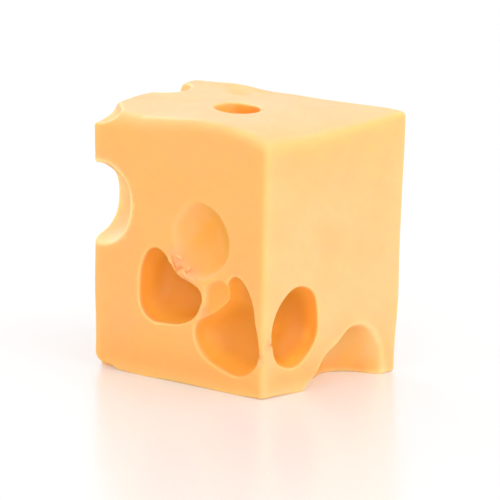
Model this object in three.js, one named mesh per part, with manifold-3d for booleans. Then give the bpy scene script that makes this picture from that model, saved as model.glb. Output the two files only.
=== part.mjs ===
// A wedge of holey cheese, cut from a large wheel, with its narrow and its wide end both cut off.
// It stands on one cut side. All lengths are millimetres, +Z is up, and the origin is at the middle
// of the foot. The narrow end is the front (-Y), and the walls lean and taper as a hand cut leaves them.
//
// The block is a box grid with rounded edges, carried between four uneven corners and under a gently
// domed top. The eyes, which are the gas bubbles that the knife cut open, are ellipsoids taken out
// of it. Each one is described by what shows of it: its rim, and how deep it goes.

import * as THREE from 'three';
import { mergeVertices } from 'three/addons/utils/BufferGeometryUtils.js';
import Module from 'manifold-3d';

// ---------------------------------------------------------------- driving dimensions

// Each upright edge of the block: where it meets the board, where it ends, and its height.
const CORNERS = {
  frontLeft: { foot: [-32.2, -27.4], top: [-32.0, -27.0], height: 77.6 },
  frontRight: { foot: [34.2, -27.7], top: [35.4, -26.8], height: 73.8 },
  backRight: { foot: [39.2, 26.4], top: [41.5, 28.3], height: 77.8 },
  backLeft: { foot: [-39.8, 26.2], top: [-40.8, 27.0], height: 78.4 },
};

const EDGE_RADIUS = 1.4; // softness of the cut edges
const HUMP = 3.1; // how far the front top edge bows up, near its right end
const HUMP_WIDTH = 0.74; // the part of the front edge that the hump covers
const SAG = 1.1; // how far the right top edge dips, near its front end
const SKEW = 0.75; // pushes the hump and the sag towards the front right corner
const SWELL = { height: 0.9, across: 0.8, width: 0.14, reach: 0.12 }; // a low swelling on the back edge

// Grid steps of the block across, in depth and in height, two of them in each rounded edge.
const STEPS = [14, 11, 12];

// Sides round and rings down of an ellipsoid, for eyes wider than LARGE_EYE and for the others.
const LARGE_EYE = 13;
const LARGE_SIDES = [22, 12];
const SMALL_SIDES = [14, 8];

// The walls, each walked with the cheese on the left hand. `axis` is the direction, 0 for X and 1
// for Y, in which an eye's place on that wall is given.
const WALLS = {
  front: { from: 'frontLeft', to: 'frontRight', axis: 0 },
  right: { from: 'frontRight', to: 'backRight', axis: 1 },
  back: { from: 'backRight', to: 'backLeft', axis: 0 },
  left: { from: 'backLeft', to: 'frontLeft', axis: 1 },
};

// The eyes. One large eye is often two or three bubbles that grew together. `at` is the middle of
// the rim: X or Y along a wall and the height, or X and Y on the top and the bottom. `rim` is its
// width and height, and `depth` how far the eye goes in.
// `sunk` says how far in the widest place lies: 0 is a half ball, more closes in again at the rim,
// and less is a dish. `turn` rolls the eye in its wall, and `lean` swings it sideways, in degrees.
const EYES = [
  // the narrow end: the wide shallow dish, the twin eye, the low eye and the lip that opens into it
  { face: 'front', at: [9.0, 43.9], rim: [20.8, 21.2], depth: 2.9, sunk: -0.75, lean: 4 },
  { face: 'front', at: [11.5, 43.3], rim: [15.0, 17.4], depth: 6.4, sunk: -0.2, lean: 10 },
  { face: 'front', at: [-7.6, 28.0], rim: [13.2, 22.2], depth: 9.5, sunk: 0.05, turn: -4, lean: 10 },
  { face: 'front', at: [-4.0, 26.5], rim: [14.0, 15.0], depth: 11.0, sunk: 0.1, lean: 8 },
  { face: 'front', at: [-0.6, 24.2], rim: [22.6, 13.8], depth: 11.0, sunk: 0.2, turn: 12, lean: 6 },
  { face: 'front', at: [19.9, 13.8], rim: [25.8, 16.4], depth: 9.2, sunk: -0.1, turn: -17 },
  { face: 'front', at: [25.2, 25.0], rim: [9.8, 19.0], depth: 7.5, turn: 12, lean: -6 },
  { face: 'front', at: [23.6, 20.5], rim: [12.0, 14.0], depth: 7.8, turn: 12, lean: -8 },
  { face: 'front', at: [17.2, 27.0], rim: [10.6, 11.8], depth: 3.0, sunk: -0.5, lean: 4 },
  // the narrow end: the eye cut through by the left edge, and the broken corner below it
  { face: 'front', at: [-29.4, 49.4], rim: [23.2, 23.2], depth: 6.0, sunk: -0.4 },
  { face: 'front', at: [-29.2, 50.3], rim: [22.4, 20.6], depth: 14.0, sunk: 0.2 },
  { face: 'front', at: [-32.5, 0.0], rim: [18.0, 3.8], depth: 3.0, sunk: -0.3 },
  { face: 'front', at: [-33.2, 1.0], rim: [3.6, 4.6], depth: 3.0 },
  // the right cut side: the upright eye, and the arch that the foot cuts through
  { face: 'right', at: [-14.8, 19.3], rim: [17.4, 23.8], depth: 8.5, sunk: 0.1, turn: -12, lean: 8 },
  { face: 'right', at: [9.7, 1.0], rim: [20.0, 29.4], depth: 12.6 },
  { face: 'right', at: [2.5, 0.6], rim: [16.6, 21.2], depth: 9.0 },
  { face: 'right', at: [-5.2, -0.5], rim: [11.4, 7.6], depth: 3.6 },
  // the top: the eye, a shallow ripple, and the two eyes cut through by the left edge
  { face: 'top', at: [1.6, -1.6], rim: [19.6, 12.6], depth: 9.0, sunk: 0.15, turn: -33, lean: 8 },
  { face: 'top', at: [-15.5, 19.5], rim: [13.0, 8.0], depth: 1.0, sunk: -0.85, turn: -10 },
  { face: 'top', at: [-39.6, 10.4], rim: [18.0, 18.4], depth: 8.0, sunk: -0.2 },
  { face: 'top', at: [-31.2, -25.3], rim: [26.0, 12.8], depth: 4.1, sunk: -0.05, turn: -49 },
  // the left cut side
  { face: 'left', at: [2.0, 31.0], rim: [20.0, 23.0], depth: 8.5, sunk: 0.15, turn: 20 },
  { face: 'left', at: [15.5, 54.0], rim: [12.5, 14.0], depth: 6.0, sunk: 0.1 },
  { face: 'left', at: [-13.0, 13.0], rim: [11.0, 9.0], depth: 3.2, sunk: -0.2 },
  // the wide end
  { face: 'back', at: [-17.0, 44.0], rim: [25.0, 20.0], depth: 9.0, sunk: 0.15, turn: 12 },
  { face: 'back', at: [9.0, 23.0], rim: [19.0, 23.0], depth: 9.0, sunk: 0.2, turn: -15 },
  { face: 'back', at: [21.0, 55.0], rim: [16.0, 15.0], depth: 4.5, sunk: -0.25 },
  { face: 'back', at: [-27.0, 14.0], rim: [12.0, 11.0], depth: 5.0, sunk: 0.1 },
  // the side that it stands on
  { face: 'bottom', at: [-10.0, 3.0], rim: [16.0, 13.0], depth: 6.0, sunk: 0.1, turn: 25 },
];

// ---------------------------------------------------------------- the block

const { lerp, degToRad, clamp } = THREE.MathUtils;

// A corner's place at a fraction of its height.
function cornerAt(name, rise) {
  const { foot, top } = CORNERS[name];
  return [lerp(foot[0], top[0], rise), lerp(foot[1], top[1], rise)];
}

// A value carried between the four corners: `across` runs from right to left, `back` from front to
// back.
function between(valueOf, across, back) {
  const front = lerp(valueOf('frontRight'), valueOf('frontLeft'), across);
  const rear = lerp(valueOf('backRight'), valueOf('backLeft'), across);
  return lerp(front, rear, back);
}

// The height of the top: level between its corners, with a hump on the front edge that fades
// towards the back, a slight sag on the right edge and a low swelling on the back edge.
function topHeight(across, back) {
  const level = between((name) => CORNERS[name].height, across, back);
  const overHump = clamp(across / HUMP_WIDTH, 0, 1);
  const hump = HUMP * Math.sin(Math.PI * overHump ** SKEW) * (1 - back);
  const sag = SAG * Math.sin(Math.PI * back ** SKEW) * (1 - across) ** 3;
  const aside = (across - SWELL.across) / SWELL.width;
  const swell = SWELL.height * Math.exp(-(aside ** 2) - ((1 - back) / SWELL.reach) ** 2);
  return level + hump - sag + swell;
}

// A point of the block from its three fractions: across, back and up.
function blockPoint(across, back, rise) {
  const x = between((name) => cornerAt(name, rise)[0], across, back);
  const y = between((name) => cornerAt(name, rise)[1], across, back);
  return new THREE.Vector3(x, y, rise * topHeight(across, back));
}

// The block's size before it is carried between its corners. It is near the real one, so that the
// rounded edges keep their radius.
const NOMINAL = new THREE.Vector3(73, 53.5, 77);

// The place of grid step i of n on a length: close together inside the rounded edges.
function station(i, n, length) {
  const half = length / 2;
  const inner = half - EDGE_RADIUS;
  const close = half - 0.45 * EDGE_RADIUS;
  const ends = [-half, -close, -inner];
  if (i < ends.length) return ends[i];
  if (n - i < ends.length) return -ends[n - i];
  return lerp(-inner, inner, (i - 2) / (n - 4));
}

// The block: a box grid whose edges are rounded by pulling each point to within EDGE_RADIUS of a
// smaller box, and which is then carried between the four corners.
function blockGeometry() {
  const geometry = new THREE.BoxGeometry(2, 2, 2, ...STEPS);
  const position = geometry.attributes.position;
  const sizes = NOMINAL.toArray();
  for (let k = 0; k < position.count; k++) {
    const cube = [position.getX(k), position.getY(k), position.getZ(k)];
    const placed = cube.map((c, axis) => {
      const i = Math.round(((c + 1) / 2) * STEPS[axis]);
      return station(i, STEPS[axis], sizes[axis]);
    });
    const point = new THREE.Vector3(...placed);
    const inside = NOMINAL.clone().multiplyScalar(0.5).subScalar(EDGE_RADIUS);
    const core = point.clone().clamp(inside.clone().negate(), inside);
    point.sub(core).setLength(EDGE_RADIUS).add(core);
    const across = 0.5 - point.x / NOMINAL.x;
    const back = 0.5 + point.y / NOMINAL.y;
    const rise = 0.5 + point.z / NOMINAL.z;
    position.setXYZ(k, ...blockPoint(across, back, rise).toArray());
  }
  return geometry;
}

// ---------------------------------------------------------------- the eyes

// The place and the directions of a face at an eye's middle: along it, up it and out of it.
function seat(face, [place, up]) {
  if (face === 'top' || face === 'bottom') {
    const across = 0.5 - place / NOMINAL.x;
    const back = 0.5 + up / NOMINAL.y;
    const side = face === 'top' ? 1 : -1;
    return {
      point: new THREE.Vector3(place, up, face === 'top' ? topHeight(across, back) : 0),
      along: new THREE.Vector3(1, 0, 0),
      upward: new THREE.Vector3(0, side, 0),
      out: new THREE.Vector3(0, 0, side),
    };
  }
  const { from, to, axis } = WALLS[face];
  const start = cornerAt(from, up / NOMINAL.z);
  const end = cornerAt(to, up / NOMINAL.z);
  const share = (place - start[axis]) / (end[axis] - start[axis]);
  const along = new THREE.Vector3(end[0] - start[0], end[1] - start[1], 0).normalize();
  return {
    point: new THREE.Vector3(lerp(start[0], end[0], share), lerp(start[1], end[1], share), up),
    along,
    upward: new THREE.Vector3(0, 0, 1),
    out: new THREE.Vector3(along.y, -along.x, 0),
  };
}

// An eye as an ellipsoid. Its half width comes from the rim and from how far in it is widest:
// a cut at the fraction `sunk` of its half depth is sqrt(1 - sunk^2) as wide as its middle.
function eyeGeometry({ face, at, rim, depth, sunk = 0, turn = 0, lean = 0 }) {
  const { point, along, upward, out } = seat(face, at);
  const halfDepth = depth / (1 + sunk);
  const widen = 1 / Math.sqrt(1 - sunk ** 2);
  const sides = Math.max(...rim) > LARGE_EYE ? LARGE_SIDES : SMALL_SIDES;
  const geometry = new THREE.SphereGeometry(1, ...sides);
  geometry.scale((rim[0] / 2) * widen, (rim[1] / 2) * widen, halfDepth);
  geometry.rotateY(degToRad(lean));
  geometry.rotateZ(degToRad(turn));
  geometry.applyMatrix4(new THREE.Matrix4().makeBasis(along, upward, out));
  const middle = point.addScaledVector(out, -sunk * halfDepth);
  geometry.translate(...middle.toArray());
  return geometry;
}

// ---------------------------------------------------------------- solids

const wasm = await Module();
wasm.setup();

// A closed three.js geometry as a solid that can be cut and joined.
function solidOf(geometry) {
  const bare = geometry.clone();
  bare.deleteAttribute('normal');
  bare.deleteAttribute('uv');
  const merged = mergeVertices(bare, 1e-4);
  return new wasm.Manifold(new wasm.Mesh({
    numProp: 3,
    vertProperties: new Float32Array(merged.attributes.position.array),
    triVerts: new Uint32Array(merged.index.array),
  }));
}

// A solid as a three.js geometry.
function geometryOf(solid) {
  const mesh = solid.getMesh();
  const geometry = new THREE.BufferGeometry();
  geometry.setAttribute('position', new THREE.BufferAttribute(mesh.vertProperties, 3));
  geometry.setIndex(new THREE.BufferAttribute(mesh.triVerts, 1));
  geometry.computeVertexNormals();
  return geometry;
}

// The cheese: the block with every eye taken out of it, moved so that the middle of its foot box
// is the origin.
function cheese() {
  let body = solidOf(blockGeometry());
  for (const eye of EYES) body = body.subtract(solidOf(eyeGeometry(eye)));
  const { min, max } = body.boundingBox();
  body = body.translate([-(min[0] + max[0]) / 2, -(min[1] + max[1]) / 2, -min[2]]);
  const material = new THREE.MeshStandardMaterial({ color: 0xffcf8a, roughness: 0.5, metalness: 0 });
  const mesh = new THREE.Mesh(geometryOf(body), material);
  mesh.name = 'cheese';
  return mesh;
}

const wedge = new THREE.Group();
wedge.add(cheese());

export default wedge;
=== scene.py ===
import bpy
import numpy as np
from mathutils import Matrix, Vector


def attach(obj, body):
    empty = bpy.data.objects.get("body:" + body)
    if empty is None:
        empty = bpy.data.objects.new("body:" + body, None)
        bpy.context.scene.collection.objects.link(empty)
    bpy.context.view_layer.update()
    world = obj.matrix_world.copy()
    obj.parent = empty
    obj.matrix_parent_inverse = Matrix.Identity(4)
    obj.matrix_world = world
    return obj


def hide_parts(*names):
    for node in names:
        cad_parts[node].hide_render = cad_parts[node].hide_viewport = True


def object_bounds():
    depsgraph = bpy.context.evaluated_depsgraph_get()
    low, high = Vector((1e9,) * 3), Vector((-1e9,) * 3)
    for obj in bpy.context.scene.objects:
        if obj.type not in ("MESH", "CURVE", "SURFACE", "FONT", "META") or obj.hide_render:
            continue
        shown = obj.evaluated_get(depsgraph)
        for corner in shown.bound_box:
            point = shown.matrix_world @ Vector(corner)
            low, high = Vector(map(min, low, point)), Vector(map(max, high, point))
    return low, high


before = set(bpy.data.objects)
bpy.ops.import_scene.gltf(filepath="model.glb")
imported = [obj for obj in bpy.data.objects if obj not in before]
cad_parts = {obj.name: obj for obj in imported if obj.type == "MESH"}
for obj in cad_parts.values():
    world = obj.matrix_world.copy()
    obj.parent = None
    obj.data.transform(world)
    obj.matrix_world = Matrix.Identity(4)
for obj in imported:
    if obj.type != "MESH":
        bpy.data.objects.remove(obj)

# %% [markdown]
# # A wedge of holey cheese
# The solid model that has just been loaded holds the wedge's size and its weight. This notebook
# makes what the eye sees: the soft cut edges, the eyes with their thin lips, the torn spots where
# two eyes nearly meet, and a moist, slightly translucent finish. Blender works in metres, and the
# sizes below are in millimetres, because that is how one measures cheese.

MM = 0.001
cad_low, cad_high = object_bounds()
print("solid model, mm:", [round((h - l) / MM, 1) for l, h in zip(cad_low, cad_high)])

# %% [markdown]
# ## The block
# A cheese this large is cut with a wire and a long knife, so the block has four flat walls that
# lean a little, no two edges of one height, and a top that bows up where the blade came out. It
# could be made from a cube, by moving corners and bevelling edges. It is written as a distance
# instead: a function that says how far a point is from the cut surface, below zero inside. Such a
# function can be rounded, carved and worn with plain arithmetic, and the eyes need just that.

# %% The four upright edges, as foot, top and height
CORNERS = {
    "front left": ((-32.2, -27.4), (-32.0, -27.0), 77.6),
    "front right": ((34.2, -27.7), (35.4, -26.8), 73.8),
    "back right": ((39.2, 26.4), (41.5, 28.3), 77.8),
    "back left": ((-39.8, 26.2), (-40.8, 27.0), 78.4),
}
MIDDLE = np.array([0.3735, 0.2814, 0.0])     # the middle of the block's foot, in these measures
HEIGHT = 77.0          # the height at which an edge has reached its top point
print("heights of the upright edges, mm:", [corner[2] for corner in CORNERS.values()])

# %% The walls and the bowed top
HUMP = 3.1             # how far the front top edge bows up
HUMP_WIDTH = 0.74      # the part of that edge that the hump covers, from the right
SAG = 1.1              # how far the right top edge dips
SKEW = 0.75            # pushes both towards the front right corner
SWELL = 0.9            # a low swelling on the back edge, left of its middle
SWELL_AT = 0.8         # the part of that edge to the right of it
SWELL_WIDTHS = 0.14, 0.12              # its widths, as parts of the top's width and depth


def edge_at(name, rise):
    """The plan position of an upright edge at a fraction of its height: foot + rise * (top - foot)."""
    foot, top, _ = CORNERS[name]
    return np.array(foot) + np.multiply.outer(rise, np.subtract(top, foot))


def wall(points, start, end):
    """Distance out of the wall between two upright edges: (point - start) . outward normal, in
    plan, with both edges taken at the point's own height."""
    rise = points[:, 2] / HEIGHT
    a, b = edge_at(start, rise), edge_at(end, rise)
    along = b - a
    outward = np.stack([along[:, 1], -along[:, 0]], axis=1)
    outward /= np.linalg.norm(outward, axis=1, keepdims=True)
    return ((points[:, :2] - a) * outward).sum(axis=1)


def top_height(across, back):
    """Height of the top: the four corner heights blended, plus a hump sin(pi * a^skew) that fades
    towards the back, minus a sag sin(pi * b^skew) on the right edge. a and b run from 0 to 1."""
    tall = {name: corner[2] for name, corner in CORNERS.items()}
    front = tall["front right"] + across * (tall["front left"] - tall["front right"])
    rear = tall["back right"] + across * (tall["back left"] - tall["back right"])
    over = np.clip(across / HUMP_WIDTH, 0, 1)
    hump = HUMP * np.sin(np.pi * over**SKEW) * (1 - back)
    sag = SAG * np.sin(np.pi * back**SKEW) * (1 - across) ** 3
    wide, deep = SWELL_WIDTHS
    swell = SWELL * np.exp(-(((across - SWELL_AT) / wide) ** 2) - ((1 - back) / deep) ** 2)
    return front + back * (rear - front) + hump - sag + swell


print("the middle of the top is", round(float(top_height(0.5, 0.5)), 1), "mm high")

# %% [markdown]
# ## Rounding two surfaces into each other
# Where two surfaces meet, the larger of their distances gives a knife-sharp edge. A smooth maximum
# adds a small parabola where the two are nearly equal, and that rolls the edge over by a chosen
# width. It is the same idea as Bevel, but it also works along a rim that no single edge follows.

# %% Smooth maximum and minimum
def smooth_max(a, b, width):
    """max(a, b) + h^2 * width / 4, with h = how far |a - b| falls short of the width, 0 to 1."""
    near = np.clip(1 - np.abs(a - b) / width, 0, None)
    return np.maximum(a, b) + near**2 * width / 4


def smooth_min(a, b, width):
    """The same, turned over: -smooth_max(-a, -b)."""
    return -smooth_max(-a, -b, width)


print("rolling an edge by 2 mm cuts it back by", smooth_max(0.0, 0.0, 2.0), "mm")

# %% The block with its rolled edges
TOP_EDGE = 2.0         # width of the rolled edge round the top
USED_EDGE = 1.5        # how much wider it is along the front and the right
WORN_EDGE = 2.8        # and again at the front left, where the top was handled
SIDE_EDGE = 1.8        # width of the four upright edges
FOOT_EDGE = 0.9        # width of the edge round the foot


def cuts(points):
    """Distances out of the six cuts: front, right, rear, left, top and foot, one row each."""
    front = wall(points, "front left", "front right")
    right = wall(points, "front right", "back right")
    rear = wall(points, "back right", "back left")
    left = wall(points, "back left", "front left")
    across = np.clip(right / (right + left - 1e-9), 0, 1)
    back = np.clip(front / (front + rear - 1e-9), 0, 1)
    top = points[:, 2] - top_height(across, back)
    return np.stack([front, right, rear, left, top, -points[:, 2]])


def block(points):
    """Distance from the uncut block: the largest of the six distances, edges rolled. The top edge
    is rolled by TOP_EDGE + USED_EDGE max(f^8, r^12 f^2) + WORN_EDGE l^2 f^8, where f, l and r are
    how far a point is to the front, the left and the right, from 0 to 1."""
    front, right, rear, left, top, foot = cuts(points)
    ends = smooth_max(front, rear, SIDE_EDGE)
    sides = smooth_max(ends, smooth_max(right, left, SIDE_EDGE), SIDE_EDGE)
    leftward = np.clip(right / (right + left - 1e-9), 0, 1)
    frontward = np.clip(rear / (front + rear - 1e-9), 0, 1)
    used = np.maximum(frontward**8, (1 - leftward) ** 12 * frontward**2)
    worn = TOP_EDGE + USED_EDGE * used + WORN_EDGE * leftward**2 * frontward**8
    return smooth_max(smooth_max(sides, top, worn), foot, FOOT_EDGE)


centre = np.array([[0.0, 0.0, 38.0]])
print("the middle of the block lies", round(-float(block(centre)[0]), 1), "mm deep")

# %% [markdown]
# ## The eyes
# The eyes are gas bubbles that the knife has opened. Each is described by what one sees: the middle
# and the size of its rim on a cut face, its depth, and how far in it is widest. One large eye is
# often two or three bubbles that grew together, so bubbles share a name, and those with one name
# melt into each other. Separate bubbles keep a thin wall, or meet in a sharp lip.

# %% The bubbles
# name, face, middle of the rim, size of the rim, depth, sunk, turn, lean: sizes in mm, angles in
# degrees. Sunk is how far in the bubble is widest, from -1, a shallow dish, to 1, a closed ball.
BUBBLES = [
    ("dish", "front", (9.0, 43.9), (20.8, 21.2), 2.9, -0.75, 0, 4),
    ("dish", "front", (11.7, 43.3), (13.6, 16.2), 6.4, -0.2, 0, 10),
    ("twin", "front", (-7.5, 28.0), (13.4, 21.8), 10.0, 0.05, -4, 8),
    ("twin", "front", (-3.4, 26.6), (12.4, 13.4), 11.0, 0.1, 0, 8),
    ("twin", "front", (-0.3, 24.1), (22.6, 13.4), 11.0, 0.2, 12, 6),
    ("low", "front", (20.0, 14.1), (25.4, 15.9), 9.4, -0.1, -17, 0),
    ("low", "front", (24.7, 25.2), (10.8, 19.0), 6.6, 0.0, 10, -6),
    ("low", "front", (22.6, 19.4), (15.0, 14.0), 9.6, 0.0, 12, -4),
    ("lip", "front", (17.0, 27.2), (11.0, 12.0), 3.0, -0.5, 0, 4),
    ("lip", "front", (12.6, 22.4), (7.0, 4.6), 2.0, -0.5, 35, 0),
    ("notch", "front", (-29.4, 49.4), (23.2, 23.2), 6.0, -0.4, 0, 0),
    ("notch", "front", (-29.2, 50.3), (22.4, 20.6), 14.0, 0.2, 0, 0),
    ("chip", "front", (-32.5, 0.0), (18.0, 3.8), 3.0, -0.3, 0, 0),
    ("chip", "front", (-33.2, 1.0), (3.6, 4.6), 3.0, 0.0, 0, 0),
    ("upright", "right", (-14.8, 19.3), (17.4, 23.8), 8.5, 0.1, -12, 8),
    ("arch", "right", (9.2, 1.0), (18.2, 29.2), 12.6, 0.0, 0, 0),
    ("arch", "right", (2.5, 0.6), (16.2, 20.8), 9.0, 0.0, 0, 0),
    ("arch", "right", (-5.2, -0.5), (11.2, 7.2), 3.6, 0.0, 0, 0),
    ("arch", "right", (12.0, 0.0), (17.4, 27.0), 2.8, -0.75, 0, 0),
    ("crown", "top", (1.6, -1.6), (19.6, 12.6), 9.0, 0.15, -33, 8),
    ("ripple", "top", (-15.5, 19.5), (13.0, 8.0), 1.0, -0.85, -10, 0),
    ("scoop", "top", (-39.6, 10.4), (18.0, 18.4), 8.0, -0.2, 0, 0),
    ("bite", "top", (-31.2, -25.3), (26.0, 12.8), 4.1, -0.05, -49, 0),
    ("left big", "left", (2.0, 31.0), (20.0, 23.0), 8.5, 0.15, 20, 0),
    ("left small", "left", (15.5, 54.0), (12.5, 14.0), 6.0, 0.1, 0, 0),
    ("left low", "left", (-13.0, 13.0), (11.0, 9.0), 3.2, -0.2, 0, 0),
    ("rear left", "back", (-17.0, 44.0), (25.0, 20.0), 9.0, 0.15, 12, 0),
    ("rear right", "back", (9.0, 23.0), (19.0, 23.0), 9.0, 0.2, -15, 0),
    ("rear dish", "back", (21.0, 55.0), (16.0, 15.0), 4.5, -0.25, 0, 0),
    ("rear small", "back", (-27.0, 14.0), (12.0, 11.0), 5.0, 0.1, 0, 0),
    ("under", "foot", (-10.0, 3.0), (16.0, 13.0), 6.0, 0.1, 25, 0),
]
print(len(BUBBLES), "bubbles, the widest", max(max(row[3]) for row in BUBBLES), "mm")

# %% From a rim on a face to a bubble in the block
WALLS = {              # the edges that a wall runs between, and the axis that it runs along
    "front": ("front left", "front right", 0),
    "right": ("front right", "back right", 1),
    "back": ("back right", "back left", 0),
    "left": ("back left", "front left", 1),
}
PLAN = np.array([73.0, 53.5])      # mean width and depth of the block, for a place on its top


def seat(face, place, up):
    """The point of a face at an eye's middle, and its directions along, up and out of the face."""
    if face in ("top", "foot"):
        side = 1.0 if face == "top" else -1.0
        level = top_height(0.5 - place / PLAN[0], 0.5 + up / PLAN[1]) if face == "top" else 0.0
        return np.array([place, up, level]), np.diag([1.0, side, side])
    start, end, axis = WALLS[face]
    a, b = edge_at(start, up / HEIGHT), edge_at(end, up / HEIGHT)
    share = (place - a[axis]) / (b[axis] - a[axis])
    x, y = (b - a) / np.linalg.norm(b - a)
    frame_of_face = np.array([[x, y, 0.0], [0.0, 0.0, 1.0], [y, -x, 0.0]])
    return np.append(a + share * (b - a), up), frame_of_face


def turned(turn, lean):
    """A turn in the plane of the face after a sideways lean about its upright, as one matrix."""
    t, s = np.radians([turn, lean])
    roll = np.array([[np.cos(t), -np.sin(t), 0], [np.sin(t), np.cos(t), 0], [0, 0, 1]])
    swing = np.array([[np.cos(s), 0, np.sin(s)], [0, 1, 0], [-np.sin(s), 0, np.cos(s)]])
    return roll @ swing


def ellipsoid(face, at, rim, depth, sunk, turn, lean):
    """Centre, directions and half sizes. A cut at the fraction `sunk` of the half depth is
    sqrt(1 - sunk^2) as wide as the middle, so the rim fixes the width."""
    point, axes = seat(face, *at)
    half_depth = depth / (1 + sunk)
    half = np.append(np.array(rim) / 2 / np.sqrt(1 - sunk**2), half_depth)
    return point - axes[2] * sunk * half_depth, axes.T @ turned(turn, lean), half


def bubble(points, middle, directions, half):
    """Distance from an ellipsoid, nearly: k (k - 1) / g, where k = |p / half| is 1 on its skin and
    g = |p / half^2| is how fast k grows."""
    local = (points - middle) @ directions
    k = np.linalg.norm(local / half, axis=1)
    g = np.linalg.norm(local / half**2, axis=1) + 1e-6
    return k * (k - 1) / g


shapes = [(name, ellipsoid(*rest)) for name, *rest in BUBBLES]
names = sorted({name for name, _ in shapes})
print(len(shapes), "bubbles make", len(names), "eyes")

# %% [markdown]
# ## Uneven growth
# No bubble is a true ball and no cut is a true plane. A few slow waves in random directions, added
# to the distance, make both uneven. Sums of sines are used because they are smooth, need no table,
# and give the same cheese every time from one seed.

# %% Slow waves
def waves(points, length, count, seed):
    """Sum of `count` sines over the root of their number, with random directions and phases and
    wavelengths of about `length` mm."""
    rng = np.random.default_rng(seed)
    direction = rng.normal(size=(count, 3))
    direction /= np.linalg.norm(direction, axis=1, keepdims=True)
    rate = 2 * np.pi / (length * rng.uniform(0.7, 1.4, count))
    phase = rng.uniform(0, 2 * np.pi, count)
    return np.sin(points @ (direction * rate[:, None]).T + phase).sum(axis=1) / np.sqrt(count)


# a sheet of test points just behind the front, for a few measures
across, up = np.meshgrid(np.linspace(-30, 32, 63), np.linspace(2, 72, 71))
front = np.stack([across, np.full_like(across, -26.0), up], axis=-1).reshape(-1, 3)
print("spread of the waves:", round(float(waves(front, length=11.0, count=9, seed=5).std()), 2))

# %% [markdown]
# ## Eyes that grew together
# Two bubbles that meet while the cheese is soft become one eye with a waist, and a firm wall
# between two eyes stays, but thin. Metaballs would melt them all alike. Here a smooth minimum melts
# the bubbles of one eye, by a width of its own, and two different eyes each stop half a wall short
# of the middle between them.

# %% The melted eyes, and the walls between them
MELT = {"dish": 6.0, "low": 5.0, "arch": 4.0}      # how softly the bubbles of an eye run together
OTHER_MELT = 2.6       # and in all other eyes
OPEN = {"lip": "low"}  # an eye that breaks into its neighbour, with no wall left between
WALL = 1.5             # the thinnest wall between two eyes
WALL_EDGE = 0.5        # how softly that wall runs into the eyes
FAR = 1e3              # a distance that stands for no eye near
BUBBLE_REACH = 9.0     # how far beyond its size a bubble is worked out


def nearby(points, middle, reach):
    """Which points lie in the cube of half size `reach` round a middle."""
    return np.flatnonzero((np.abs(points - middle) < reach).all(axis=1))


def one_eye(points, name):
    """Distance from one eye: its bubbles, melted by a smooth minimum."""
    own = np.full(len(points), FAR)
    for other, shape in shapes:
        if other == name:
            near = nearby(points, shape[0], shape[2].max() + BUBBLE_REACH)
            melt = MELT.get(name, OTHER_MELT)
            own[near] = smooth_min(own[near], bubble(points[near], *shape), melt)
    return own


def eyes(points):
    """Distance from the nearest eye. Between two eyes, at distances d1 < d2, a wall stays:
    max(d1, (WALL - (d2 - d1)) / 2)."""
    distance = {OPEN.get(name, name): np.full(len(points), FAR) for name in names}
    for name in names:
        eye = OPEN.get(name, name)
        distance[eye] = np.minimum(distance[eye], one_eye(points, name))
    first, second = np.partition(np.stack(list(distance.values())), 1, axis=0)[:2]
    return smooth_max(first, (WALL - (second - first)) / 2, WALL_EDGE)


print("share of the front that is open:", round(float((eyes(front) < 0).mean()), 2))

# %% [markdown]
# ## Torn spots
# Where two eyes nearly meet, the wall between them is only a millimetre or two thick, and the wire
# tears it. A displacement map could roughen such a spot, but it can't open a crack. The tears are
# short tapered cracks, cut out as round cones. Beside them the skin is ragged: a patch of finer
# waves, and a few loose flakes that stand a little proud.

# %% Cracks, ragged patches and flakes
CRACKS = [             # face, from, to, half width at each end, mm
    ("front", (31.2, 13.2), (33.8, 11.6), 0.9, 0.12),
    ("right", (-23.2, 15.9), (-25.0, 15.4), 0.8, 0.12),
    ("front", (-0.8, 36.6), (0.8, 33.2), 0.25, 0.5),
    ("front", (0.7, 33.6), (5.0, 35.3), 0.5, 0.15),
    ("front", (1.4, 34.0), (3.2, 36.6), 0.3, 0.12),
    ("top", (7.0, -0.4), (9.2, 1.6), 0.9, 0.2),
]
RAGGED = [             # face, middle, reach, height of the waves, mm
    ("front", (1.6, 36.4), 4.0, 0.30),
    ("front", (5.4, 33.2), 3.6, 0.26),
    ("front", (32.6, 12.4), 2.4, 0.22),
    ("front", (12.4, 21.4), 3.0, 0.22),
    # on the lip the waves are low, and the duller colour there is a painted shade
    ("front", (16.6, 26.6), 3.4, 0.08),
    ("right", (-24.6, 15.6), 2.0, 0.20),
]
FLAKES = [             # face, middle, half sizes, turn and tilt out of the face, degrees
    ("front", (-1.9, 36.2), (0.4, 1.4, 0.35), 30, 20),
    ("front", (3.6, 33.0), (2.0, 0.7, 0.45), -24, -14),
    ("front", (1.8, 37.4), (1.6, 0.6, 0.35), -20, 12),
    ("front", (5.8, 34.6), (1.4, 0.5, 0.30), 30, -10),
    ("front", (6.6, 31.6), (1.7, 0.6, 0.40), -24, 8),
]
print(len(CRACKS), "cracks,", len(RAGGED), "ragged patches and", len(FLAKES), "flakes")

# %% Wear, flakes and cracks in the cut faces
RIM = 0.75             # width of the rolled rim of an eye
BUBBLE_WAVE = 0.25     # unevenness of the eyes' walls
CUT_WAVE = 0.12        # unevenness of the cut faces
RAGGED_REACH = 2.2     # how far out a ragged patch is worked out, in its own reaches
FLAKE_MELT = 0.3       # how softly a flake runs into the face
CRACK_REACH = 6.0      # how far from its middle a crack is worked out
CRACK_EDGE = 0.25      # width of the rolled edge of a crack


def fading(distance, width):
    """1 at no distance, and less and less further off: exp(-(distance / width)^2)."""
    return np.exp(-((distance / width) ** 2))


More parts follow.
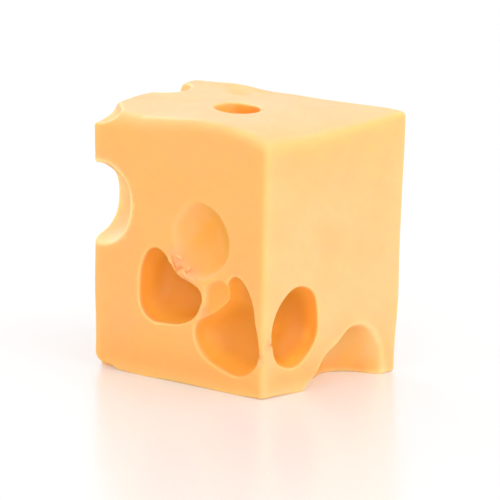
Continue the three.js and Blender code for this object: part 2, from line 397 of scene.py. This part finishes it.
def cone(points, start, end, wide, narrow):
    """Distance from a round cone: to the nearest place on the line, less the half width there."""
    line = end - start
    share = np.clip((points - start) @ line / (line @ line), 0, 1)
    reach = np.linalg.norm(points - start - share[:, None] * line, axis=1)
    return reach - (wide + share * (narrow - wide))


def wear(points, cut):
    """The cut faces with ragged patches: shorter waves that fade out round each middle."""
    for face, place, reach, height in RAGGED:
        middle, _ = seat(face, *place)
        near = nearby(points, middle, RAGGED_REACH * reach)
        away = np.linalg.norm(points[near] - middle, axis=1)
        rough = waves(points[near], length=2.4, count=8, seed=3)
        cut[near] += height * fading(away, reach) * rough
    return cut


def flakes(points, cut):
    """Adds the flakes, each an ellipsoid on the face, run softly into it."""
    for face, place, half, turn, tilt in FLAKES:
        middle, axes = seat(face, *place)
        near = nearby(points, middle, max(half) + 1.0)
        flake = bubble(points[near], middle, axes.T @ turned(turn, tilt), np.array(half))
        cut[near] = smooth_min(cut[near], flake, FLAKE_MELT)
    return cut


def cracks(points, cut):
    """Takes the cracks out: max(distance, -distance from the crack)."""
    for face, start, end, wide, narrow in CRACKS:
        a, b = seat(face, *start)[0], seat(face, *end)[0]
        near = nearby(points, (a + b) / 2, CRACK_REACH)
        crack = cone(points[near], a, b, wide, narrow)
        cut[near] = smooth_max(cut[near], -crack, CRACK_EDGE)
    return cut


def cheese(points):
    """Distance from the finished wedge: the worn block, less the eyes, with flakes and cracks."""
    cut = wear(points, block(points) + CUT_WAVE * waves(points, length=24.0, count=7, seed=8))
    holes = eyes(points) + BUBBLE_WAVE * waves(points, length=11.0, count=9, seed=5)
    return cracks(points, flakes(points, smooth_max(cut, -holes, RIM)))


change = cheese(front) - smooth_max(block(front), -eyes(front), RIM)
print("waves and wear move the front by at most", round(float(np.abs(change).max()), 2), "mm")

# %% [markdown]
# ## From a distance to a surface
# The skin is where the distance is zero. Each cell of a fine lattice that the skin passes through
# gets one point, at the mean of the places where the skin crosses the cell's edges, and each
# lattice edge that is crossed gets one four-sided face between the four cells round it. That makes
# an even mesh of small quads that runs through rims and lips without a seam. A grid of two
# parameters for each wall, cut by balls with Boolean, was the other choice. It leaves long slivers
# and razor rims, and the thin lips between the eyes need soft ones.

# %% The skin of a lattice
def skin(field, low, cell):
    """Points and quads of the zero surface of a 3D array. Each crossed lattice edge adds its
    crossing point to its four cells; a cell's point is the mean; the edge's quad joins them."""
    cells = tuple(n - 1 for n in field.shape)
    total, count = np.zeros(cells + (3,)), np.zeros(cells)
    crossed = []
    for axis in range(3):
        before = np.take(field, range(field.shape[axis] - 1), axis)
        after = np.take(field, range(1, field.shape[axis]), axis)
        hit = (before < 0) != (after < 0)
        place = np.argwhere(hit)
        share = before[hit] / (before[hit] - after[hit])
        where = place.astype(float)
        where[:, axis] += share
        others = [a for a in range(3) if a != axis]
        inner = np.all([(place[:, a] > 0) & (place[:, a] < cells[a]) for a in others], axis=0)
        place, where = place[inner], where[inner]
        corners = []
        for da, db in ((0, 0), (1, 0), (1, 1), (0, 1)):
            home = place.copy()
            home[:, others[0]] -= da
            home[:, others[1]] -= db
            np.add.at(total, tuple(home.T), where)
            np.add.at(count, tuple(home.T), 1)
            corners.append(np.ravel_multi_index(tuple(home.T), cells))
        quad = np.stack(corners, axis=1)
        outward = (before[hit][inner] < 0) ^ (axis == 1)
        crossed.append(np.where(outward[:, None], quad, quad[:, ::-1]))
    used = np.flatnonzero(count.ravel())
    number = np.full(count.size, -1)
    number[used] = np.arange(len(used))
    points = total.reshape(-1, 3)[used] / count.ravel()[used, None] * cell + low
    return points, number[np.concatenate(crossed)]


# a ball in a lattice of nine points each way, as a test
ball = np.linalg.norm(np.indices((9, 9, 9)) - 4.0, axis=0) - 3.2
ball_points, ball_quads = skin(ball, np.zeros(3), 1.0)
print("a test ball gets", len(ball_points), "points and", len(ball_quads), "quads")

# %% The lattice round the wedge
CELL = 0.42            # lattice step, mm
MARGIN = 1.5           # room round the block, mm
BAND = 1.6             # how near the surface the fine detail is worked out, mm

low_corner = np.array(cad_low) / MM + MIDDLE - MARGIN
high_corner = np.array(cad_high) / MM + MIDDLE + MARGIN
axes = [np.arange(l, h + CELL, CELL) for l, h in zip(low_corner, high_corner)]
lattice = np.stack(np.meshgrid(*axes, indexing="ij"), axis=-1)
grid = lattice.reshape(-1, 3)
field = smooth_max(block(grid), -eyes(grid), RIM)
band = np.abs(field) < BAND
field[band] = cheese(grid[band])
field = field.reshape(lattice.shape[:3])
points, quads = skin(field, low_corner, CELL)
print("lattice", lattice.shape[:3], "->", len(points), "points,", len(quads), "quads")

# %% [markdown]
# ## Settling the points
# The lattice still shows as faint steps. Each point is moved to the middle of its neighbours, which
# evens the mesh out, and then back onto the true skin by Newton's step: against the gradient, by
# the distance. Two rounds are enough.

# %% Even out and settle
ROUNDS = 2             # how often the points are evened out and settled
EVENNESS = 0.6         # the share of the way to the neighbours' middle that a point moves


def gradient(points, step=0.05):
    """Slope of the distance by central differences, one axis at a time."""
    slope = np.empty_like(points)
    for axis in range(3):
        shift = np.zeros(3)
        shift[axis] = step
        slope[:, axis] = (cheese(points + shift) - cheese(points - shift)) / (2 * step)
    return slope


def settle(points):
    """Newton's step onto the skin: p - f * grad f / |grad f|^2, at most half a cell."""
    slope = gradient(points)
    size = (slope**2).sum(axis=1, keepdims=True) + 1e-9
    move = -cheese(points)[:, None] * slope / size
    length = np.linalg.norm(move, axis=1, keepdims=True)
    return points + move * np.minimum(1, CELL / 2 / (length + 1e-9))


def even_out(points, quads, share):
    """Moves each point a share of the way to the mean of its neighbours along the quads' edges."""
    a = quads.ravel()
    b = np.roll(quads, -1, axis=1).ravel()
    total = np.stack([np.bincount(a, points[b, k], len(points)) for k in range(3)], axis=1)
    total += np.stack([np.bincount(b, points[a, k], len(points)) for k in range(3)], axis=1)
    count = np.bincount(a, minlength=len(points)) + np.bincount(b, minlength=len(points))
    return points + share * (total / count[:, None] - points)


for _ in range(ROUNDS):
    points = settle(even_out(points, quads, EVENNESS))
print("largest distance left, mm:", round(float(np.abs(cheese(points)).max()), 3))

# %% [markdown]
# ## Fewer faces where it is flat
# Cells small enough for a crack are far too many for a flat wall. Decimate merges faces and starts
# where that changes the shape least, so the walls get large triangles and the rims keep small ones.
# Afterwards the points are settled once more, and the true slope goes in as the shading normal.

# %% Merge faces
FACES = 190_000        # triangles in the finished wedge


def mesh_object(name, points_mm, faces):
    """A mesh object from points in millimetres and a list of faces, with the middle of the foot
    moved to the origin."""
    mesh = bpy.data.meshes.new(name)
    mesh.from_pydata(((points_mm - MIDDLE) * MM).tolist(), [], faces.tolist())
    piece = bpy.data.objects.new(name, mesh)
    bpy.context.collection.objects.link(piece)
    return piece


def thinned(points, quads, target):
    """Points and triangles after Decimate, as arrays."""
    rough = mesh_object("rough_wedge", points, quads)
    thinner = rough.modifiers.new("fewer faces", "DECIMATE")
    thinner.ratio = target / (2 * len(quads))
    thinner.use_collapse_triangulate = True
    mesh = rough.evaluated_get(bpy.context.evaluated_depsgraph_get()).to_mesh()
    places = np.empty(3 * len(mesh.vertices))
    mesh.vertices.foreach_get("co", places)
    corners = np.empty(len(mesh.loops), dtype=np.int32)
    mesh.loops.foreach_get("vertex_index", corners)
    bpy.data.objects.remove(rough)
    return places.reshape(-1, 3) / MM + MIDDLE, corners.reshape(-1, 3)


points, triangles = thinned(points, quads, FACES)
print("triangles:", len(triangles), "on", len(points), "points")

# %% Build the wedge
points = settle(points)
normals = gradient(points)
normals /= np.linalg.norm(normals, axis=1, keepdims=True)
wedge = mesh_object("cheese_wedge", points, triangles)
wedge.data.polygons.foreach_set("use_smooth", np.ones(len(triangles), dtype=bool))
wedge.data.normals_split_custom_set_from_vertices(normals.tolist())
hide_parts("cheese")
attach(wedge, "root")
print("wedge, mm:", [round(float(v), 1) for v in np.ptp(points, axis=0)])

# %% [markdown]
# ## What the finish needs to know
# Cheese isn't one colour, and here the colour also carries painted light and shade. The eyes get a
# painted shade, darker the more closed-in and the deeper a place is. The cut faces get painted light:
# paler on the right side and the top, which face the lamps, and at the edges and rims, where light
# seeps out. A painted map could say which is where. Here a few numbers are worked out for each point
# and kept as attributes, because the same distances that made the shape already know it: a step out
# along the normal comes near another wall inside an eye, and stays far from everything on an open
# face. Other numbers mark the lit sides, the edges and rims, a painted shade above the board and in
# the cracks, the torn patches and a painted shade on the lip, and the eyes at the corners, whose thin
# walls let light through, painted in as a glow.

# %% What each eye is like
SHADE_STRENGTH = {           # how strongly an eye gets painted shade; the ones open to two sides get as little as a cut
    "dish": 0.45, "lip": 0.9, "twin": 0.72, "low": 0.72, "upright": 0.93, "crown": 0.95,
    "arch": 0.1, "notch": 0.05, "bite": 0.1, "scoop": 0.05, "chip": 0.1, "ripple": 0.05,
    "rear dish": 0.5, "left low": 0.6,
}
OTHER_EYE_SHADE = 0.75       # all other eyes
CUT_SHADE = 0.05       # outside the eyes
GLOW_STRENGTH = {"notch": 0.85, "scoop": 0.4, "arch": 0.4}  # how strongly light through thin walls is painted in as a paler glow
print("dried eyes:", ", ".join(name for name, value in SHADE_STRENGTH.items() if value <= 0.1))

# %% Painted shade by how closed-in and how deep a place is, and a painted glow where light comes through
FRONT_LAMP = np.array([0.54, -0.77, 0.34])         # towards the lamp that shines through them
NEAR_STEP, FAR_STEP = 9.0, 13.0        # steps out along the normal that test for other walls, mm
ARCH_BAND = 4.5                        # height of the darker band in the arch, mm
CUT_SKIN = 0.4, 2.0                    # depths over which a cut face gives way to an eye, mm
EYE_SKIN = 0.3, 1.5                    # distances over which a point stops being an eye's own, mm
SHADE_ONSET = 0.15, 2.2                    # depths over which the painted shade of an eye sets in, mm
DARKENING = 4.5                        # over how much more depth the painted shade turns darker, mm


def add_number(name, values):
    """Stores one number for each point of the wedge, between 0 and 1."""
    values = np.clip(values, 0, 1)
    layer = wedge.data.attributes.new(name, "FLOAT", "POINT")
    layer.data.foreach_set("value", values.astype(np.float32))
    print(name, "mean", round(float(values.mean()), 3))


def ramp(values, low, high):
    """0 at low, 1 at high, smooth between: t^2 (3 - 2 t)."""
    t = np.clip((values - low) / (high - low), 0, 1)
    return t * t * (3 - 2 * t)


def closed_in(points, normals, step):
    """1 - distance to the nearest wall / step, taken one step out along the normal."""
    return 1 - cheese(points + normals * step) / step


depth = -block(points)
on_cut = 1 - ramp(depth, *CUT_SKIN)
near, far = closed_in(points, normals, NEAR_STEP), closed_in(points, normals, FAR_STEP)
closed = ramp(0.3 * near + 0.7 * far + 0.015 * depth, 0.02, 0.5)   # more so further in
shade_strength, airy = np.full(len(points), CUT_SHADE), np.zeros(len(points))
for name in names:
    inside = 1 - ramp(np.abs(one_eye(points, name)), *EYE_SKIN)
    shade_strength = np.maximum(shade_strength, SHADE_STRENGTH.get(name, OTHER_EYE_SHADE) * inside)
    airy = np.maximum(airy, GLOW_STRENGTH.get(name, 0.0) * inside)
# painted shade: the more closed-in a place in an eye is, the darker and deeper in colour it gets
eye_shade = closed ** (1 / shade_strength - 1) * ramp(depth, *SHADE_ONSET)
shaded = fading(points[:, 2], ARCH_BAND) * (1 - on_cut)        # inside the arch, by the board
eye_shade, airy = np.maximum(eye_shade, 0.4 * shaded), airy * (1 - 0.8 * shaded)
airy *= ramp(normals @ FRONT_LAMP, -0.1, 0.7)                  # painted only where the lamp reaches
start = 1 + 9 * (1 - shade_strength)             # mm; an eye with a strong painted shade darkens from nearer to its rim
add_number("eye_shade", eye_shade)
# painted shade, darker still at the bottoms of deep eyes
add_number("deep", eye_shade * shade_strength**2 * ramp(depth, start, start + DARKENING))
add_number("airy", airy)

# %% Painted light on the lit sides, edges and rims, painted shade by the board and in cracks, and torn skin
EDGE_WIDTH, RIM_WIDTH = 3.4, 1.0       # widths of the paler edges and rims, a painted glow, mm
FOOT_BAND = 9.0                        # height of the band of painted shade above the board, mm
FOOT_INSET = 3.0                       # how far that band keeps from the edges, mm
HIGH_UP = 50.0, 76.0                   # heights over which the painted light on the right side weakens, mm
CRACK_SKIN = -0.1, 0.35                # distances over which the painted shade of a crack fades, mm

to_edge = np.sort(-cuts(points), axis=0)[1]
to_rim = np.abs(eyes(points))
# painted light: the right side and the top, which face the lamps, get the paler colour
paled = np.maximum(normals[:, 0] * (1 - 0.45 * ramp(points[:, 2], *HIGH_UP)), normals[:, 2])
torn_and_lip_shade = np.zeros(len(points))
# torn spots, and a painted shade on the lip
for face, place, reach, _ in RAGGED:
    away = np.linalg.norm(points - seat(face, *place)[0], axis=1)
    torn_and_lip_shade = np.maximum(torn_and_lip_shade, fading(away, reach))
lines = [(seat(face, *a)[0], seat(face, *b)[0], *half) for face, a, b, *half in CRACKS]
gap = np.min([cone(points, *line) for line in lines], axis=0)
add_number("on_cut", on_cut)
add_number("lit_cut", paled * on_cut)
# painted glow: paler along the cut edges and the rims of the eyes, where light seeps out
add_number("edge", fading(to_edge, EDGE_WIDTH) * on_cut)
add_number("rim", fading(to_rim, RIM_WIDTH) * on_cut)
# painted shade in a band above the board, kept off the edges
add_number("foot", fading(points[:, 2], FOOT_BAND) * (1 - fading(to_edge, FOOT_INSET)))
add_number("torn_and_lip_shade", torn_and_lip_shade)
# painted shade in the cracks
add_number("crack", 1 - ramp(gap, *CRACK_SKIN))

# %% [markdown]
# ## Writing materials as sums
# A material is arithmetic on numbers that vary over the surface. Adding Math nodes by hand hides
# the formula, so one small class wraps a socket and lets plain Python operators add the nodes.

# %% A socket that does sums
class Value:
    """A node's output in a material, with + - * as Math nodes, from either side."""

    def __init__(self, tree, socket):
        self.tree, self.socket = tree, socket

    def math(self, operation, first, second):
        settings = {"operation": operation}
        return add_node(self.tree, "ShaderNodeMath", settings, in0=first, in1=second)["Value"]

    def __add__(self, other):
        return self.math("ADD", self, other)

    def __radd__(self, other):
        return self.math("ADD", other, self)

    def __sub__(self, other):
        return self.math("SUBTRACT", self, other)

    def __rsub__(self, other):
        return self.math("SUBTRACT", other, self)

    def __mul__(self, other):
        return self.math("MULTIPLY", self, other)

    def __rmul__(self, other):
        return self.math("MULTIPLY", other, self)


def add_node(tree, kind, settings=None, **inputs):
    """One way to add any node: its settings first, then the values or links of its inputs, named
    by socket, with _ for a space, or in0, in1, ... Gives its outputs by name, each as a Value."""
    made = tree.nodes.new(kind)
    for key, value in (settings or {}).items():
        setattr(made, key, value)
    for key, value in inputs.items():
        numbered = key.startswith("in") and key[2:].isdigit()
        socket = made.inputs[int(key[2:])] if numbered else made.inputs[key.replace("_", " ")]
        if isinstance(value, Value):
            tree.links.new(value.socket, socket)
        else:
            socket.default_value = value
    return {out.name: Value(tree, out) for out in made.outputs if out.enabled}


trial = bpy.data.materials.new("trial")
trial.use_nodes = True
answer = 1 - 2 * add_node(trial.node_tree, "ShaderNodeValue")["Value"]
print("1 - 2 * value ends in a Math node that does", answer.socket.node.operation)
bpy.data.materials.remove(trial)

# %% [markdown]
# ## The finish of the cheese
# Cheese is pale and cloudy: light goes in, wanders a few millimetres and comes out warmer. Red
# travels furthest, which is why thin edges glow and deep eyes turn orange. Subsurface scattering in
# the Principled shader does this with one distance for each colour, and painted glow and shade in the
# colour add to it. The rest is small: a moist skin, a little smoother where the knife went than in an
# eye, and faint clouds in the colour.

# %% Colours and sizes of the finish
SCATTER = (1.0, 0.48, 0.2)         # how far red, green and blue wander, against each other
SCATTER_LENGTH = 0.0045            # how far red wanders, m
FRESH = (0.985, 0.475, 0.135, 1.0)  # the cut faces
LIT_SIDES = (0.98, 0.53, 0.235, 1.0)      # painted light on the right side and the top, which face the lamps
EYE_SHADE = (0.945, 0.44, 0.065, 1.0)   # painted shade on the closed-in walls of the eyes
DEEP_SHADE = (0.70, 0.25, 0.008, 1.0)     # painted shade at the bottoms of the deep eyes
GLOW = (1.0, 0.70, 0.34, 1.0)    # painted glow on walls that light comes through from two sides
FOOT_SHADE = (0.89, 0.385, 0.08, 1.0)     # painted shade in a soft band above the board
PALE = (0.99, 0.60, 0.22, 1.0)      # painted glow at edges and rims, where light seeps out; also pale curd flecks
DULL_AND_LIP_SHADE = (0.88, 0.41, 0.19, 1.0)      # torn spots, and a painted shade on the lip
CRACK_SHADE = (0.80, 0.33, 0.10, 1.0)     # painted shade at the bottoms of the cracks
BLUSH = (0.985, 0.45, 0.165, 1.0)   # faint rosier clouds
CLOUD, ROSY_CLOUD = 0.022, 0.016    # sizes of the clouds in the colour, m
CURD, GRAIN = 0.0045, 0.0011        # sizes of the curds and of the fine grain, m
RELIEF = 0.0003                     # height of curds and grain, m
print("light wanders, mm:", [round(share * SCATTER_LENGTH / MM, 1) for share in SCATTER])


# %% Make the finish
def principled(name, **constants):
    """A new material and its Principled shader, with the sockets that are the same all over."""
    material = bpy.data.materials.new(name)
    material.use_nodes = True
    shader = material.node_tree.nodes["Principled BSDF"]
    for socket, value in constants.items():
        shader.inputs[socket.replace("_", " ")].default_value = value
    return material, shader


def cheese_finish():
    """The finish: colours laid over each other, each by a number from 0 to 1, and a low relief."""
    material, shader = principled(
        "cheese_finish", IOR=1.38, Subsurface_Weight=1.0, Subsurface_Radius=SCATTER,
        Subsurface_Scale=SCATTER_LENGTH)
    tree = material.node_tree

    def number(name):
        return add_node(tree, "ShaderNodeAttribute", {"attribute_name": name})["Fac"]

    def noise(size, detail, rough):
        where = add_node(tree, "ShaderNodeTexCoord")["Object"]
        return add_node(tree, "ShaderNodeTexNoise", Vector=where, Scale=1 / size, Detail=detail,
                        Roughness=rough)["Fac"]

    def blend(share, first, second):
        mixed = add_node(tree, "ShaderNodeMix", {"data_type": "RGBA"}, in0=share, in6=first, in7=second)
        return mixed["Result"]

    clouds = noise(CLOUD, 3.0, 0.5) - 0.5
    grain = noise(GRAIN, 4.0, 0.6) - 0.5
    curd = noise(CURD, 3.0, 0.55) - 0.5
    on_cut, torn_and_lip_shade = number("on_cut"), number("torn_and_lip_shade")
    # painted light: paler on the right side and the top
    colour = blend(number("lit_cut") + clouds * 0.4, FRESH, LIT_SIDES)
    colour = blend((noise(ROSY_CLOUD, 2.0, 0.5) - 0.42) * 1.6, colour, BLUSH)
    # painted shade in a band above the board
    colour = blend(number("foot") * 0.75 + clouds * 0.1, colour, FOOT_SHADE)
    # painted shade in the closed-in parts of the eyes
    colour = blend(number("eye_shade") + clouds * 0.2, colour, EYE_SHADE)
    # painted shade at the bottoms of deep eyes
    colour = blend(number("deep"), colour, DEEP_SHADE)
    # painted glow at edges and rims, with pale curd flecks at random
    colour = blend(number("rim") * 0.06 + number("edge") * 0.2 + curd * 0.1, colour, PALE)
    # painted glow where light comes through thin walls
    colour = blend(number("airy"), colour, GLOW)
    # torn spots are duller; on the lip this is a painted shade
    colour = blend(torn_and_lip_shade * (0.5 + on_cut * 0.25), colour, DULL_AND_LIP_SHADE)
    # painted shade in the cracks
    colour = blend(number("crack"), colour, CRACK_SHADE)
    tree.links.new(colour.socket, shader.inputs["Base Color"])
    rough = 0.44 - on_cut * 0.08 + grain * 0.12 + torn_and_lip_shade * 0.15
    tree.links.new(rough.socket, shader.inputs["Roughness"])
    relief = curd * 0.6 + grain * (0.35 + torn_and_lip_shade)
    bump = add_node(tree, "ShaderNodeBump", Strength=0.3, Distance=RELIEF, Height=relief)["Normal"]
    tree.links.new(bump.socket, shader.inputs["Normal"])
    return material


wedge.data.materials.append(cheese_finish())
print("nodes in the finish:", len(wedge.data.materials[0].node_tree.nodes))

# %% [markdown]
# ## The stage
# The wedge stands on a white, slightly rough acrylic sheet, which mirrors it faintly and ever more
# softly away from the foot. One environment texture could light it, but lamps can be moved one by
# one. The light is a white room with four large soft lamps, three of them on the right, so the
# right side is a little brighter than the front, and the top brightest.

# %% Floor
FLOOR_HALF = 6000.0    # half the width of the floor, mm

floor_finish, _ = principled(
    "floor_finish", Base_Color=(0.55, 0.55, 0.55, 1.0), Roughness=0.36, IOR=1.8, Coat_Weight=0.42,
    Coat_Roughness=0.18, Coat_IOR=1.6, Emission_Color=(1.0, 0.99, 1.0, 1.0), Emission_Strength=0.25)
corners = np.array([[-1, -1, 0], [1, -1, 0], [1, 1, 0], [-1, 1, 0]]) * FLOOR_HALF
floor = mesh_object("floor", corners, np.array([[0, 1, 2, 3]]))
floor.data.materials.append(floor_finish)
print("floor, m:", 2 * FLOOR_HALF * MM)

# %% Light
world = bpy.data.worlds.new("white_room")
bpy.context.scene.world = world
world.use_nodes = True
background = world.node_tree.nodes["Background"]
background.inputs["Color"].default_value = (1.0, 1.0, 1.0, 1.0)
background.inputs["Strength"].default_value = 1.0

LAMPS = {              # place and size in metres, power in watts
    "over_right_shoulder": ((1.3, 0.2, 1.5), 1.0, 6.6),
    "front_right": ((1.2, -1.7, 0.8), 1.2, 11.5),
    "right": ((2.0, -0.3, 0.7), 1.0, 6.5),
    "left_behind": ((-1.6, 0.6, 0.9), 1.0, 6.5),
}
AIM = (0, 0, 0.04)     # the middle of the wedge, m


def lamp(name, place, target, size, power):
    """A square soft lamp, turned so that its face looks from its place towards the target."""
    data = bpy.data.lights.new(name, "AREA")
    data.size = size
    data.energy = power
    piece = bpy.data.objects.new(name, data)
    bpy.context.collection.objects.link(piece)
    away = np.subtract(place, target)
    azimuth = np.arctan2(away[0], -away[1])
    tilt = np.arctan2(np.hypot(away[0], away[1]), away[2])
    piece.location = place
    piece.rotation_euler = (tilt, 0.0, azimuth)


for name, (place, size, power) in LAMPS.items():
    lamp(name, place, AIM, size, power)
print("lamps:", ", ".join(LAMPS))

# %% [markdown]
# ## The camera
# A long lens from over a metre away keeps the upright edges nearly parallel. The camera stands a
# little above the table, off the front right edge, so the narrow end and the right side both show.

# %% Camera
AZIMUTH, ELEVATION = 41.4, 11.5        # degrees, from the front and up from the table
DISTANCE = 1.2                         # m
LENS, SENSOR = 297.4, 36.0             # mm
FAR_CLIP = 30.0                        # m, past the edge of the floor
TARGET = (np.array([12.4, -8.2, 38.0]) - MIDDLE) * MM      # what the camera looks at

turn_by, rise_by = np.radians([AZIMUTH, ELEVATION])
level = np.array([np.sin(turn_by), -np.cos(turn_by)]) * np.cos(rise_by)
back_vector = np.append(level, np.sin(rise_by))
data = bpy.data.cameras.new("camera")
data.lens = LENS
data.sensor_width = SENSOR
data.clip_end = FAR_CLIP
camera = bpy.data.objects.new("camera", data)
bpy.context.collection.objects.link(camera)
camera.location = TARGET + DISTANCE * back_vector
camera.rotation_euler = (np.pi / 2 - rise_by, 0.0, turn_by)
bpy.context.scene.camera = camera
bpy.context.scene.view_settings.view_transform = "Standard"
print("camera at, m:", [round(float(v), 3) for v in camera.location])
